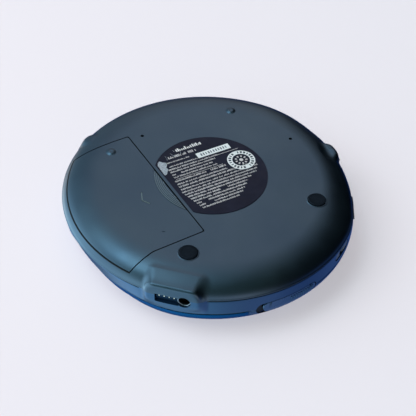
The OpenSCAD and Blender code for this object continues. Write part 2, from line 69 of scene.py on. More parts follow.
# ---------------------------------------------------------------- node helpers
class Mat:
    """A small wrapper round one material's nodes."""

    def __init__(self, name):
        self.m = bpy.data.materials.new(name)
        self.m.use_nodes = True
        self.nt = self.m.node_tree
        self.b = self.nt.nodes["Principled BSDF"]
        self.tc = self.nt.nodes.new("ShaderNodeTexCoord")

    def new(self, kind, **kw):
        n = self.nt.nodes.new(kind)
        for k, v in kw.items():
            setattr(n, k, v)
        return n

    def link(self, a, b):
        self.nt.links.new(a, b)

    def set(self, **kw):
        names = {"rough": "Roughness", "metal": "Metallic", "spec": "Specular IOR Level",
                 "coat": "Coat Weight", "coat_rough": "Coat Roughness", "ior": "IOR",
                 "trans": "Transmission Weight", "alpha": "Alpha", "sheen": "Sheen Weight",
                 "aniso": "Anisotropic"}
        for k, v in kw.items():
            self.b.inputs[names[k]].default_value = v
        return self

    def noise(self, scale, detail=3.0, rough=0.5, coords=None):
        n = self.new("ShaderNodeTexNoise")
        n.inputs["Scale"].default_value = scale
        n.inputs["Detail"].default_value = detail
        n.inputs["Roughness"].default_value = rough
        self.link(coords or self.tc.outputs["Object"], n.inputs["Vector"])
        return n.outputs["Fac"]

    def voronoi(self, scale, out="Distance", coords=None, feature="F1"):
        n = self.new("ShaderNodeTexVoronoi", feature=feature)
        n.inputs["Scale"].default_value = scale
        self.link(coords or self.tc.outputs["Object"], n.inputs["Vector"])
        return n.outputs[out]

    def ramp(self, fac, *stops):
        r = self.new("ShaderNodeValToRGB")
        e = r.color_ramp.elements
        while len(e) < len(stops):
            e.new(0.5)
        for i, (p, c) in enumerate(stops):
            e[i].position = p
            e[i].color = (*c, 1) if len(c) == 3 else c
        self.link(fac, r.inputs["Fac"])
        return r.outputs["Color"]

    def range(self, fac, a, b, lo, hi):
        n = self.new("ShaderNodeMapRange")
        n.inputs["From Min"].default_value, n.inputs["From Max"].default_value = a, b
        n.inputs["To Min"].default_value, n.inputs["To Max"].default_value = lo, hi
        self.link(fac, n.inputs["Value"])
        return n.outputs["Result"]

    def math(self, op, a, b=None, c=None):
        n = self.new("ShaderNodeMath", operation=op)
        for i, v in enumerate((a, b, c)):
            if v is None:
                continue
            if isinstance(v, (int, float)):
                n.inputs[i].default_value = v
            else:
                self.link(v, n.inputs[i])
        return n.outputs[0]

    def mix(self, fac, a, b):
        n = self.new("ShaderNodeMix", data_type="RGBA")
        for sock, v in ((n.inputs["Factor"], fac), (n.inputs[6], a), (n.inputs[7], b)):
            if isinstance(v, (int, float)):
                sock.default_value = v
            elif isinstance(v, tuple):
                sock.default_value = (*v, 1)
            else:
                self.link(v, sock)
        return n.outputs[2]

    def bump(self, height, strength, dist=0.0001, normal=None):
        n = self.new("ShaderNodeBump")
        n.inputs["Strength"].default_value = strength
        n.inputs["Distance"].default_value = dist
        self.link(height, n.inputs["Height"])
        if normal is not None:
            self.link(normal, n.inputs["Normal"])
        return n.outputs["Normal"]

    def soft_edges(self, radius):
        n = self.new("ShaderNodeBevel", samples=4)
        n.inputs["Radius"].default_value = radius
        return n.outputs["Normal"]

    def xyz(self):
        s = self.new("ShaderNodeSeparateXYZ")
        self.link(self.tc.outputs["Object"], s.inputs[0])
        return s.outputs

    def normal(self, n):
        self.link(n, self.b.inputs["Normal"])

    def color(self, c):
        if isinstance(c, tuple):
            self.b.inputs["Base Color"].default_value = (*c, 1)
        else:
            self.link(c, self.b.inputs["Base Color"])

    def rough(self, r):
        self.link(r, self.b.inputs["Roughness"])


def paint(name, lo, hi, metal=0.75, rough=0.36, flake=1.0, edge=0.0, coat=0.15):
    """Satin metallic paint: fine flake, a slow drift of tone and faint wear."""
    m = Mat(name)
    m.set(metal=metal, coat=coat, coat_rough=0.25, spec=0.45)
    flk = m.voronoi(5200, "Color")
    f = m.new("ShaderNodeSeparateColor")
    m.link(flk, f.inputs[0])
    spark = m.range(f.outputs[0], 0, 1, -0.10 * flake, 0.10 * flake)
    drift = m.noise(28, 2, 0.5)
    fac = m.math("ADD", m.range(drift, 0.3, 0.7, 0.15, 0.85), spark)
    col = m.mix(m.range(fac, 0, 1, 0, 1), lo, hi)
    m.color(col)
    smear = m.noise(110, 4, 0.6)
    m.rough(m.math("ADD", m.range(smear, 0.3, 0.75, rough - 0.03, rough + 0.05), m.range(f.outputs[1], 0, 1, -0.02, 0.02)))
    grain = m.noise(2600, 2, 0.6)
    n = m.soft_edges(edge) if edge else None
    m.normal(m.bump(grain, 0.10, 0.00006, n))
    return m


def plastic(name, lo, hi, rough=0.5, scale=900, bump=0.15, edge=0.0, spec=0.4, metal=0.0):
    """Moulded plastic or rubber with a fine spark-eroded grain."""
    m = Mat(name)
    m.set(spec=spec, metal=metal)
    m.color(m.mix(m.range(m.noise(60, 4, 0.6), 0.3, 0.7, 0, 1), lo, hi))
    g = m.noise(scale, 3, 0.6)
    m.rough(m.range(g, 0.3, 0.7, rough - 0.06, rough + 0.08))
    n = m.soft_edges(edge) if edge else None
    m.normal(m.bump(g, bump, 0.00008, n))
    return m


def metal(name, lo, hi, rough=0.3, axis=None, edge=0.0, bump=0.1):
    """Metal with a brushed direction along an axis, or an even blasted grain."""
    m = Mat(name)
    m.set(metal=1.0, spec=0.5)
    mp = m.new("ShaderNodeMapping")
    s = {"x": (60, 2400, 2400), "y": (2400, 60, 2400), None: (1300, 1300, 1300)}[axis]
    mp.inputs["Scale"].default_value = s
    m.link(m.tc.outputs["Object"], mp.inputs["Vector"])
    g = m.noise(1.0, 3, 0.6, mp.outputs["Vector"])
    m.color(m.mix(m.range(g, 0.3, 0.7, 0, 1), lo, hi))
    m.rough(m.range(m.noise(140, 3), 0.3, 0.7, rough - 0.05, rough + 0.08))
    n = m.soft_edges(edge) if edge else None
    m.normal(m.bump(g, bump, 0.00004, n))
    return m


# ---------------------------------------------------------------- materials
SHELL_LO, SHELL_HI = (0.058, 0.088, 0.128), (0.078, 0.112, 0.146)
M = {}
M["shell"] = paint("shell_paint", SHELL_LO, SHELL_HI, metal=0.95, rough=0.33, edge=0.0, coat=0.06)
M["band"] = paint("band_paint", (0.040, 0.092, 0.170), (0.055, 0.115, 0.200), metal=0.92, rough=0.31, coat=0.06)
# lighter copy of the shell paint for the grip ribs: painted highlight on the ridges
M["rib"] = paint("grip_rib_painted_highlight", (0.12, 0.165, 0.19), (0.16, 0.21, 0.24), metal=0.8, rough=0.3, edge=0.0, coat=0.06)
# black used as painted shade in gaps, grooves and the slider's slot
M["dark_gap"] = plastic("gap_painted_shade", (0.004, 0.005, 0.007), (0.010, 0.011, 0.014), 0.6)


def lid_material():
    """Saturated blue paint over fine slanted ribs round the lid's edge, darker in the rib valleys and lighter on the
    crests: painted shade of the ribs.
    """
    m = Mat("lid_blue")
    m.set(metal=0.85, coat=0.05, coat_rough=0.2, spec=0.3)
    m.b.inputs["Specular Tint"].default_value = (0.02, 0.42, 0.85, 1)
    x, y, z = m.xyz()
    ang = m.math("ARCTAN2", y, x)
    ph = m.math("ADD", m.math("MULTIPLY", ang, 620.0), m.math("MULTIPLY", z, 5200.0))
    rib = m.math("SINE", ph)
    flk = m.voronoi(5200, "Color")
    f = m.new("ShaderNodeSeparateColor")
    m.link(flk, f.inputs[0])
    r01 = m.range(rib, -1, 1, 0, 1)
    # colour follows the rib height, dark in the valleys and light on the crests (painted shade of the ribs), plus flake
    tone = m.math("ADD", m.math("MULTIPLY", r01, 0.65), m.range(f.outputs[0], 0, 1, 0, 0.3))
    m.color(m.mix(tone, (0.001, 0.040, 0.110), (0.006, 0.130, 0.290)))
    m.rough(m.range(m.noise(200, 3), 0.3, 0.7, 0.28, 0.38))
    m.normal(m.bump(r01, 0.5, 0.0001))
    return m


M["lid"] = lid_material()
M["top_paint"] = paint("top_paint", (0.020, 0.085, 0.230), (0.028, 0.110, 0.280), metal=0.75, rough=0.33)
M["slider"] = paint("slider_paint", (0.055, 0.110, 0.190), (0.080, 0.145, 0.240), metal=0.8, rough=0.28, edge=0.0003)
M["rubber"] = plastic("foot_rubber", (0.003, 0.005, 0.009), (0.008, 0.011, 0.018), 0.7, 700, 0.3, 0.0003, 0.12)
# pale, half-metal contact tips that stay bright in the recess: partly painted highlight on gold contacts
M["tip"] = metal("contact_tips_painted_bright", (0.70, 0.62, 0.45), (0.90, 0.84, 0.70), 0.45)
M["tip"].set(metal=0.35)
M["plate_grey"] = plastic("plate_grey", (0.17, 0.18, 0.21), (0.22, 0.23, 0.26), 0.45, 900, 0.2, 0.0003)
# lighter copy of the foot rubber for the ring round each foot: painted highlight on its edge
M["rubber_lip"] = plastic("foot_rim_painted_highlight", (0.020, 0.026, 0.034), (0.030, 0.038, 0.048), 0.6, 700, 0.2, 0.0, 0.2)
M["mark"] = paint("arrow_paint", (0.14, 0.19, 0.20), (0.20, 0.26, 0.27), metal=0.6, rough=0.4)
M["black"] = plastic("black_plastic", (0.008, 0.009, 0.011), (0.016, 0.017, 0.020), 0.5, 900, 0.2, 0.0001)
M["trim"] = plastic("trim_plastic", (0.030, 0.036, 0.050), (0.050, 0.058, 0.078), 0.42, 900, 0.2, 0.0003)
M["spring"] = metal("spring_steel", (0.50, 0.50, 0.49), (0.66, 0.66, 0.64), 0.28)
M["nickel"] = metal("nickel", (0.58, 0.58, 0.56), (0.72, 0.72, 0.70), 0.22, edge=0.0001)
M["nickel_dark"] = metal("nickel_dark", (0.16, 0.18, 0.20), (0.34, 0.37, 0.40), 0.25, edge=0.0002)
M["gold"] = metal("gold_contacts", (0.70, 0.47, 0.16), (0.86, 0.62, 0.26), 0.25)
M["deck"] = metal("deck_steel", (0.44, 0.45, 0.46), (0.60, 0.61, 0.62), 0.36, "x", 0.0002)
M["turntable"] = plastic("turntable", (0.030, 0.033, 0.038), (0.050, 0.054, 0.060), 0.36, 1200, 0.12, 0.0002)
M["pickup"] = plastic("pickup", (0.020, 0.021, 0.025), (0.035, 0.037, 0.042), 0.46, 900, 0.2, 0.0002)
M["chip"] = plastic("chip", (0.010, 0.010, 0.012), (0.022, 0.022, 0.025), 0.4, 1500, 0.1)
M["liner"] = plastic("liner", (0.020, 0.023, 0.028), (0.034, 0.038, 0.044), 0.75, 500, 0.5)


def board_material():
    m = Mat("board_green")
    m.set(spec=0.5, coat=0.4, coat_rough=0.15)
    br = m.voronoi(420, "Distance", feature="DISTANCE_TO_EDGE")
    m.color(m.ramp(br, (0.0, (0.012, 0.105, 0.060)), (0.06, (0.006, 0.060, 0.036)), (0.5, (0.004, 0.045, 0.028))))
    m.rough(m.range(m.noise(300), 0.3, 0.7, 0.32, 0.48))
    m.normal(m.bump(br, 0.2, 0.00005))
    return m


M["board"] = board_material()


def window_material(name, tint, rough):
    m = Mat(name)
    m.set(spec=0.6, coat=1.0, coat_rough=0.03)
    m.color(m.mix(m.range(m.noise(45, 3), 0.3, 0.7, 0, 1), tint, tuple(c * 1.35 for c in tint)))
    m.rough(m.range(m.noise(220, 3), 0.3, 0.7, rough, rough + 0.05))
    return m


M["window"] = window_material("smoked_window", (0.012, 0.016, 0.024), 0.08)
M["lcd"] = window_material("lcd_glass", (0.16, 0.19, 0.165), 0.2)


def lens_material():
    m = Mat("lens_glass")
    m.set(spec=0.8, coat=1.0, coat_rough=0.02)
    lw = m.new("ShaderNodeLayerWeight")
    lw.inputs["Blend"].default_value = 0.4
    m.color(m.mix(m.range(m.noise(400, 2), 0.3, 0.7, 0, 1), (0.02, 0.03, 0.10), (0.05, 0.04, 0.16)))
    m.rough(m.range(m.noise(300), 0.3, 0.7, 0.04, 0.08))
    return m


M["lens"] = lens_material()


def plate_material():
    """Spun aluminium with fine concentric turning marks."""
    m = Mat("lid_plate_spun")
    m.set(metal=1.0, spec=0.5)
    x, y, z = m.xyz()
    r = m.math("SQRT", m.math("ADD", m.math("MULTIPLY", x, x), m.math("MULTIPLY", y, y)))
    comb = m.new("ShaderNodeCombineXYZ")
    m.link(m.math("MULTIPLY", r, 3000.0), comb.inputs[0])
    g = m.noise(1.0, 3, 0.7, comb.outputs[0])
    m.color(m.mix(m.range(g, 0.3, 0.7, 0, 1), (0.20, 0.27, 0.36), (0.32, 0.40, 0.50)))
    m.rough(m.range(m.noise(90, 3), 0.3, 0.7, 0.26, 0.36))
    m.normal(m.bump(g, 0.25, 0.00004, m.soft_edges(0.0004)))
    return m


M["lid_plate"] = plate_material()


def label_material():
    """Printed label: dark ground, rows of unreadable light ticks, fine scuffs."""
    m = Mat("label_print")
    m.set(spec=0.18)
    m.color(m.mix(m.range(m.noise(90, 5, 0.6), 0.35, 0.7, 0, 1), (0.004, 0.004, 0.015), (0.009, 0.009, 0.024)))
    m.rough(m.range(m.noise(400, 4), 0.3, 0.7, 0.34, 0.5))
    m.normal(m.bump(m.noise(1500, 2), 0.1, 0.00004))
    return m


M["label"] = label_material()
M["print_bright"] = plastic("label_ink_bright", (0.72, 0.62, 0.60), (0.92, 0.80, 0.77), 0.5, 1500, 0.1)
M["ink_dark"] = plastic("ink_dark", (0.010, 0.010, 0.020), (0.022, 0.022, 0.034), 0.5, 1500, 0.1)
M["ink_grey"] = plastic("ink_grey", (0.10, 0.10, 0.11), (0.20, 0.20, 0.22), 0.5, 1500, 0.1)
M["print"] = plastic("label_ink", (0.54, 0.45, 0.44), (0.80, 0.68, 0.66), 0.5, 1500, 0.1)
M["paper"] = plastic("sticker_paper", (0.84, 0.75, 0.73), (0.94, 0.86, 0.84), 0.6, 900, 0.2)
M["foil"] = metal("torn_foil", (0.30, 0.34, 0.38), (0.62, 0.66, 0.70), 0.4)

# ---------------------------------------------------------------- shell shape
RB = 69.53
RIM = 16.8
POD = math.radians(-45)


def smax(a, b, k):
    h = np.clip(0.5 + 0.5 * (a - b) / k, 0, 1)
    return a * h + b * (1 - h) + k * h * (1 - h)


def smin(a, b, k):
    return -smax(-a, -b, k)


FLAT_A = np.array([148, 159, 165, 172, 180, 187, 195, 204, 213, 220, 228, 236.0])
FLAT_V = np.array([0, 0.7, 1.4, 2.0, 2.1, 2.5, 2.8, 2.8, 2.4, 1.8, 0.6, 0])
LEAN_A = np.array([-52, -45, -37, -33, -28, -22, -16, -10, -3, 4, 12, 20, 30.0])
LEAN_V = np.array([0, 0.1, 0.5, 0.7, 1.2, 1.7, 2.3, 2.8, 3.0, 2.8, 1.8, 0.7, 0])


def inset(deg, z):
    """How far the outline lies inside a true circle: the lower edge is flatter on the side away from
    the battery door, and the side above the door leans inwards as it rises."""
    flat = np.interp(deg % 360, FLAT_A, FLAT_V) * np.clip((16.8 - z) / 8.8, 0, 1)
    lean = np.interp((deg + 180) % 360 - 180, LEAN_A, LEAN_V) * np.clip((z - 7.5) / 9.3, 0, 1)
    cap = np.interp((deg + 180) % 360 - 180, (-50, -40, -28, 2, 14), (0, 0.3, 1.2, 1.2, 0)) * np.clip((z - 15.5) / 2.5, 0, 1)
    return cap + flat + lean


def follow(ob, r0=62.0, width=5.0):
    """Moves a copied mesh's outer skin by the same inset as the lower shell."""
    me = ob.data
    co = np.empty(len(me.vertices) * 3)
    me.vertices.foreach_get("co", co)
    co = co.reshape(-1, 3) / MM
    R = np.hypot(co[:, 0], co[:, 1])
    deg = np.degrees(np.arctan2(co[:, 1], co[:, 0]))
    k = (R - inset(deg, co[:, 2]) * np.clip((R - r0) / width, 0, 1)) / np.maximum(R, 1e-6)
    co[:, 0] *= k
    co[:, 1] *= k
    me.vertices.foreach_set("co", (co * MM).ravel())
    me.update()


def base_sdf(P):
    R, z = np.hypot(P[..., 0], P[..., 1]), P[..., 2]
    R = R + inset(np.degrees(np.arctan2(P[..., 1], P[..., 0])), z) * np.clip((R - 52) / 10, 0, 1)
    x, y = np.maximum(R - 52.5, 0), np.maximum(8 - z, 0)
    ax, bz = RB - 52.5, 7.2
    g = np.sqrt((x / ax) ** 2 + (y / bz) ** 2) + 1e-9
    gr = np.sqrt((x / ax ** 2) ** 2 + (y / bz ** 2) ** 2) / g + 1e-9
    return (g - 1) / gr


def block(P, a, t0, w, face, top0, slope, n0, k_top, k_side):
    """Distance to an upright block whose top falls away steeply inside n0."""
    n = P[..., 0] * math.cos(a) + P[..., 1] * math.sin(a)
    t = -P[..., 0] * math.sin(a) + P[..., 1] * math.cos(a)
    z = P[..., 2]
    d_top = top0 + slope * (n - n0) + 0.55 * np.maximum(n0 - n, 0) - z
    d_side = np.abs(t - t0) - w
    d_face = n - face
    return np.maximum(smax(smax(d_top, d_side, k_side), d_face, k_top), 50 - n), n, t


def shell_sdf(P):
    d = base_sdf(P)
    z = P[..., 2]
    pod, n, t = block(P, POD, -1.1, 11.9, 69.8, 2.35, 0.05, 60.6, 1.7, 3.6)
    # the right-hand flank leans outwards as it comes down into the side band
    lean, _, _ = block(P, POD, -4.4, 10.4, 69.3, 3.4, 0.20, 62.0, 2.6, 4.6)
    pod = smax(smin(pod, lean, 1.2), (z - 13.4) * 0.55, 2.0)
    d = smin(d, pod, 2.4)
    # two lobes on the rim
    for ang, reach, w, dish in ((187.4, 68.3, 5.6, 3.2), (56.4, 69.5, 4.4, None)):
        a = math.radians(ang)
        lobe, n2, t2 = block(P, a, 0.0, w, reach, 2.9, 0.10, 64.5, 3.0, 4.2)
        lobe = smax(lobe, z - 10.5, 3.5)
        d = smin(d, lobe, 2.0)
        if dish is not None:
            e = np.sqrt((np.maximum(0, 40 - n2)) ** 2 + ((n2 - 63.2) / 3.6) ** 2 + ((t2 - dish) / 7.0) ** 2 + ((z - 1.4) / 2.4) ** 2)
            d = smax(d, -(e - 1) * 2.4, 1.2)
    # parting line: a fine lip above a shallow groove, faded out beside the pod
    away = np.clip((np.abs(t + 1.4) - 14.2) / 1.5, 0, 1) * (n > 0) + (n <= 0)
    lip = np.exp(-((z - 7.35) / 0.32) ** 2) * 0.24 - np.exp(-((z - 8.18) / 0.22) ** 2) * 0.45
    return d - lip * away * (np.hypot(P[..., 0], P[..., 1]) > 64.5)


def march(origin, direction, far):
    """Distance along each ray to the outside of the shell, found from outside in."""
    t = np.full(origin.shape[:-1], float(far))
    hit = np.zeros(t.shape, bool)
    for _ in range(90):
        d = shell_sdf(origin + direction * t[..., None])
        hit |= d < 0.004
        step = np.where(hit, 0, np.clip(d * 0.5, 0.002, 0.8))
        t = np.maximum(t - step, 0)
    lo, hi = t - 0.3, t + 0.1
    for _ in range(14):
        mid = (lo + hi) / 2
        inside = shell_sdf(origin + direction * mid[..., None]) < 0
        lo, hi = np.where(inside, mid, lo), np.where(inside, hi, mid)
    return (lo + hi) / 2


def theta_list():
    out, a = [], -180.0
    while a < 180 - 1e-6:
        out.append(a)
        near = -64 < a < -28
        lobe = abs(a - 56) < 12 or abs(((a - 187.4 + 180) % 360) - 180) < 14
        a += 0.25 if near else (0.4 if lobe else 0.9)
    return np.radians(np.array(out))


def build_shell():
    th = theta_list()
    ct, st = np.cos(th), np.sin(th)
    rows_o, rows_i = [], []

    def ring(Rr, z):
        return np.stack([Rr * ct, Rr * st, np.broadcast_to(z, Rr.shape).astype(float)], -1)

    flat = [20.0, 40.0, 48.0]
    for R in flat:
        rows_o.append(ring(np.full(th.shape, R), 0.8))
        rows_i.append(ring(np.full(th.shape, R), 2.4))
    mid = np.linspace(50, 64, 41)
    O = np.stack([np.stack([R * ct, R * st, np.full(th.shape, 12.0)], -1) for R in mid])
    D = np.zeros_like(O)
    D[..., 2] = -1
    T = march(O, D, 13.5)
    for k, R in enumerate(mid):
        zo = 12.0 - T[k]
        rows_o.append(ring(np.full(th.shape, R), zo))
        x = max(R - 52.5, 0)
        zi = 8 - 5.6 * math.sqrt(max(0, 1 - (x / 15.2) ** 2))
        rows_i.append(ring(np.full(th.shape, min(R, 67.2)), np.maximum(zi, zo + 1.0)))
    ph = np.radians(np.linspace(-90, 0, 40))[1:]
    O = np.stack([np.stack([64 * ct, 64 * st, np.full(th.shape, 8.0)], -1) for _ in ph])
    D = np.stack([np.stack([math.cos(p) * ct, math.cos(p) * st, np.full(th.shape, math.sin(p))], -1) for p in ph])
    T = march(O, D, 12.0)
    for k, p in enumerate(ph):
        Rr, z = 64 + T[k] * math.cos(p), 8 + T[k] * math.sin(p)
        rows_o.append(ring(Rr, z))
        Ti = np.minimum(T[k] - 1.0, 3.7)
        Ti = np.maximum(Ti, 0.15)
        rows_i.append(ring(64 + Ti * math.cos(p), 8 + Ti * math.sin(p)))
    zs = [8.03, 8.11, 8.19, 8.29, 8.40, 8.5, 8.8, 9.2, 9.7, 10.2, 10.7, 11.2, 11.7, 12.2, 12.6, 12.85, 13.0, 13.1, 13.2,
          13.4, 13.8, 14.5, 15.3, 15.9, 16.2, 16.4, 16.55, 16.66, RIM - 0.05]
    O = np.stack([np.stack([0 * ct, 0 * st, np.full(th.shape, z)], -1) for z in zs])
    D = np.broadcast_to(np.stack([ct, st, 0 * ct], -1), O.shape)
    T = march(O, D, 74.0)
    # the top edge is rounded except where the fixed crescent carries the band on upwards
    open_edge = np.clip((np.abs((np.degrees(th) + 136 + 180) % 360 - 180) - 61.5) / 1.5, 0, 1)
    for k, z in enumerate(zs):
        Rr = T[k] - open_edge * 0.45 * max(0.0, (z - 16.2) / 0.55) ** 2.2
        rows_o.append(ring(Rr, z))
        Ri = np.minimum(67.75, Rr - 1.0)
        rows_i.append(ring(Ri, z))
    return th, rows_o, rows_i


def shell_mesh():
    th, ro, ri = build_shell()
    n = len(th)
    verts, faces = [], []
    verts.append((0, 0, 0.8))
    for r in ro:
        verts.extend(map(tuple, r))
    no = len(ro)
    c_in = len(verts)
    verts.append((0, 0, 2.4))
    for r in ri:
        verts.extend(map(tuple, r))

    def o(k, j):
        return 1 + k * n + j % n

    def i(k, j):
        return c_in + 1 + k * n + j % n

    for j in range(n):
        faces.append((0, o(0, j + 1), o(0, j)))
        faces.append((c_in, i(0, j), i(0, j + 1)))
    for k in range(no - 1):
        for j in range(n):
            faces.append((o(k, j), o(k, j + 1), o(k + 1, j + 1), o(k + 1, j)))
            faces.append((i(k, j), i(k + 1, j), i(k + 1, j + 1), i(k, j + 1)))
    for j in range(n):
        faces.append((o(no - 1, j), o(no - 1, j + 1), i(no - 1, j + 1), i(no - 1, j)))
    return verts, faces


def make(name, verts, faces, mat, body, smooth=True, angle=None):
    me = bpy.data.meshes.new(name)
    me.from_pydata([tuple(c * MM for c in v) for v in verts], [], faces)
    me.validate()
    me.update()
    ob = bpy.data.objects.new(name, me)
    sc.collection.objects.link(ob)
    if mat is not None:
        me.materials.append(mat)
    for p in me.polygons:
        p.use_smooth = smooth
    if angle is not None:
        me.set_sharp_from_angle(angle=math.radians(angle))
    if body:
        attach(ob, body)
    return ob


def boolean(ob, cutter, op="DIFFERENCE", apply=True):
    md = ob.modifiers.new("cut", "BOOLEAN")
    md.object, md.operation, md.solver = cutter, op, "EXACT"
    md.use_hole_tolerant = False
    if apply:
        dg = bpy.context.evaluated_depsgraph_get()
        me = bpy.data.meshes.new_from_object(ob.evaluated_get(dg))
        ob.modifiers.clear()
        old = ob.data
        ob.data = me
        bpy.data.meshes.remove(old)


def drop(*obs):
    for o in obs:
        me = o.data
        bpy.data.objects.remove(o)
        bpy.data.meshes.remove(me)


def bm_object(name, bm, mat=None):
    me = bpy.data.meshes.new(name)
    bmesh.ops.recalc_face_normals(bm, faces=bm.faces[:])
    bm.to_mesh(me)
    bm.free()
    ob = bpy.data.objects.new(name, me)
    sc.collection.objects.link(ob)
    if mat is not None:
        me.materials.append(mat)
    return ob


def prism(name, outline, z0, z1, matrix=None, mat=None):
    """A closed prism over an outline of (x, y) points in mm, between two heights."""
    bm = bmesh.new()
    lo = [bm.verts.new((x * MM, y * MM, z0 * MM)) for x, y in outline]
    hi = [bm.verts.new((x * MM, y * MM, z1 * MM)) for x, y in outline]
    bm.faces.new(lo[::-1])
    bm.faces.new(hi)
    k = len(outline)
    for j in range(k):
        bm.faces.new((lo[j], lo[(j + 1) % k], hi[(j + 1) % k], hi[j]))
    ob = bm_object(name, bm, mat)
    if matrix is not None:
        ob.data.transform(matrix)
    return ob


def circle(cx, cy, r, n=48, a0=0.0, a1=360.0):
    return [(cx + r * math.cos(math.radians(a0 + (a1 - a0) * i / n)),
             cy + r * math.sin(math.radians(a0 + (a1 - a0) * i / n))) for i in range(n)]


def rounded_rect(x0, y0, x1, y1, r, n=8):
    pts = []
    for cx, cy, a in ((x1 - r, y1 - r, 0), (x0 + r, y1 - r, 90), (x0 + r, y0 + r, 180), (x1 - r, y0 + r, 270)):
        for i in range(n + 1):
            t = math.radians(a + 90 * i / n)
            pts.append((cx + r * math.cos(t), cy + r * math.sin(t)))
    return pts


def rim_matrix(a_deg, n0=0.0):
    """Local (t, z, n): x along the rim, y up, z outwards at angle a."""
    a = math.radians(a_deg)
    out = Vector((math.cos(a), math.sin(a), 0))
    along = Vector((-math.sin(a), math.cos(a), 0))
    up = Vector((0, 0, 1))
    m = Matrix((along, up, out)).transposed().to_4x4()
    m.translation = out * n0 * MM
    return m


verts, faces = shell_mesh()
case = make("case_shell", verts, faces, M["shell"].m, None)

# ------- cut the battery door out of the shell, then split the gap
DX, DY0, DY1, GAP = 20.0, -29.2, 45.4, 0.55
LX, LY = -1.5, 1.9
APEX, ARROW = (35.2, 1.6), ((114, 5.4), (-120, 4.3))
door = bpy.data.objects.new("battery_door_shell", case.data.copy())
sc.collection.objects.link(door)
R_D = 0.9


def door_outline(g):
    """The door's edge; its front end turns outwards a little as it goes round the rounded side."""
    front = [(46.0, DY0 + g), (52.5, -30.7 + g), (58.4, -32.1 + g), (90, -38.5 + g)]
    corner0 = [(DX + g + R_D * (1 - math.sin(t)), DY0 + g + R_D * (1 - math.cos(t))) for t in np.radians((90, 67, 45, 22, 0))]
    corner1 = [(DX + g + R_D * (1 - math.cos(t)), DY1 - g - R_D * (1 - math.sin(t))) for t in np.radians((90, 67, 45, 22, 0))]
    return corner0 + front + [(90, DY1 - g)] + corner1


c = prism("c1", door_outline(0), -2, 4.55)
boolean(case, c)
drop(c)
c = prism("c2", door_outline(GAP), -2, 4.1)
boolean(door, c, "INTERSECT")
drop(c)

# grooves, recesses and holes in the case
tools = []
podm = rim_matrix(-45)
tools.append(prism("t", rounded_rect(-4.4, 7.1, 6.3, 11.9, 0.4), 62, 75, podm))
tools.append(prism("t", circle(-6.5, 9.2, 3.05), 62, 75, podm))
for x, y in ((32.9, -36.9), (-35.2, -37.1)):
    tools.append(prism("t", circle(x, y, 4.35, 64), -2, 1.35))
    tools.append(prism("t", circle(x, y, 1.5, 32), 1, 4))
for x, y in ((13.9, 42.3), (-49.5, 5.3)):
    tools.append(prism("t", circle(x, y, 0.85, 32), -2, 5))
lab = [(LX + 27.25 * math.cos(a), LY + 27.25 * math.sin(a)) for a in np.radians(np.arange(0, 360, 3))]
lab = [p for p in lab if p[0] <= 18.75]
k0 = max(range(len(lab)), key=lambda i: math.hypot(lab[i][0] - lab[i - 1][0], lab[i][1] - lab[i - 1][1]))
lab = lab[k0:] + lab[:k0]
tools.append(prism("t", lab, -2, 0.92))
slot_m = rim_matrix(-90)


def stad(x0, x1, z0, z1, n=14):
    r = (z1 - z0) / 2
    zc = (z0 + z1) / 2
    p = [(x1 - r + r * math.sin(math.radians(180 * i / n)), zc - r * math.cos(math.radians(180 * i / n))) for i in range(n + 1)]
    p += [(x0 + r - r * math.sin(math.radians(180 * i / n)), zc + r * math.cos(math.radians(180 * i / n))) for i in range(n + 1)]
    return p


tools.append(prism("t", stad(-14.8, 16.6, 13.7, 20.3), 64, 75, slot_m))
tools.append(prism("t", stad(-6.9, 6.9, 9.2, 14.8), 66, 75, rim_matrix(-119.5)))
tools.append(prism("t", stad(-6.4, 6.4, 10.2, 14.6), 66, 75, rim_matrix(-144)))
tools.append(prism("t", stad(-5.4, 5.4, 10.5, 14.1), 66, 75, rim_matrix(-163)))
for t in tools:
    boolean(case, t)
drop(*tools)

# door details: finger grip lens, arrow, pip hole
tools = [prism("t", [(LX + 27.2 * math.cos(a), LY + 27.2 * math.sin(a)) for a in np.radians(np.arange(-45, 45.1, 2.5))], -2, 1.16)]
for ang, ln in ARROW:
    a = math.radians(ang)
    d, nn = (math.cos(a), math.sin(a)), (-math.sin(a), math.cos(a))
    q = [(APEX[0] + d[0] * u + nn[0] * v, APEX[1] + d[1] * u + nn[1] * v) for u, v in ((-0.35, -0.42), (ln, -0.42), (ln, 0.42), (-0.35, 0.42))]
    tools.append(prism("t", q, -2, 1.05))
tools.append(prism("t", circle(36.4, -20.9, 0.7, 28), -2, 1.0))
for t in tools:
    boolean(door, t)
drop(*tools)

for o in (case, door):
    for p in o.data.polygons:
        p.use_smooth = True
    o.data.set_sharp_from_angle(angle=math.radians(32))
    o.data.materials.clear()
    o.data.materials.append(M["shell"].m)
    o.data.materials.append(M["band"].m)
    o.data.materials.append(M["dark_gap"].m)
    for p in o.data.polygons:
        c, nz = p.center / MM, abs(p.normal.z)
        # painted shade: black on the door gap's walls, the step inside the door edge, a narrow stripe along the parting
        # line and the walls inside the slider's slot
        in_gap = nz < 0.3 and c.z > 0.9 and c.x > 19.5 and (abs(c.x - DX) < 0.7 or -39.0 < c.y < DY0 + 0.75 or abs(c.y - DY1) < 0.7) and c.z < 5
        rim_gap = c.x > 19 and DY0 - 4 < c.y < DY1 and 4.0 < c.z < 4.65 and nz > 0.9
        deg = math.degrees(math.atan2(c.y, c.x))
        line = 8.04 < c.z < 8.39 and nz < 0.9 and not -58.5 < deg < -33.5 and math.hypot(c.x, c.y) > 65.5
        slot = 13.5 < c.z < 20.5 and -16 < c.x < 18 and c.y < -50 and math.hypot(c.x, c.y) < 69.25
        p.material_index = 2 if in_gap or rim_gap or line or slot else (1 if c.z > 7.8 else 0)
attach(case, "base")
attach(door, "door")
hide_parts("bottom_case")
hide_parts("battery_door")


